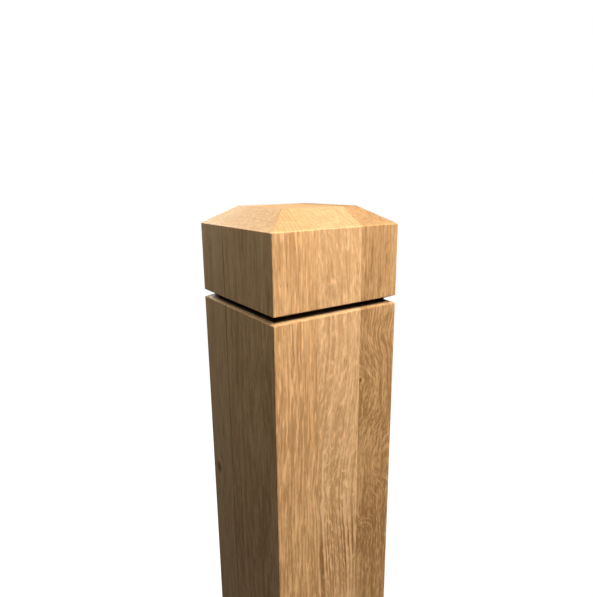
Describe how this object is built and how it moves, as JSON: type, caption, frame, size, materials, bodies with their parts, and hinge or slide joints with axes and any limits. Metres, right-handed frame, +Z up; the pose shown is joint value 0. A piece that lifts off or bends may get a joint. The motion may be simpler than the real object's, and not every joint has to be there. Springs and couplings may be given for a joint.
{
  "type": "newel post",
  "caption": "Square laminated oak newel post with a plain shaft, a shadow groove round all sides and a bevelled, flat-topped cap block.",
  "frame": {"origin": "centre of the square foot, on the surface the post stands on", "axes": "+Z up along the post, -Y out of the front face, -X out of the left face"},
  "size_m": [0.09, 0.09, 1.46],
  "materials": {
    "left_front_oak": "sanded straight-grained oak with pale ray fleck, lightly oiled",
    "left_rear_oak": "sanded straight-grained oak, lightly oiled",
    "middle_oak": "sanded flat-sawn oak, lightly oiled",
    "right_oak": "sanded darker oak with curly figure, lightly oiled"
  },
  "bodies": {
    "root": {"left_front_stave": "left_front_oak", "left_rear_stave": "left_rear_oak", "middle_stave": "middle_oak", "right_stave": "right_oak"}
  },
  "joints": []
}
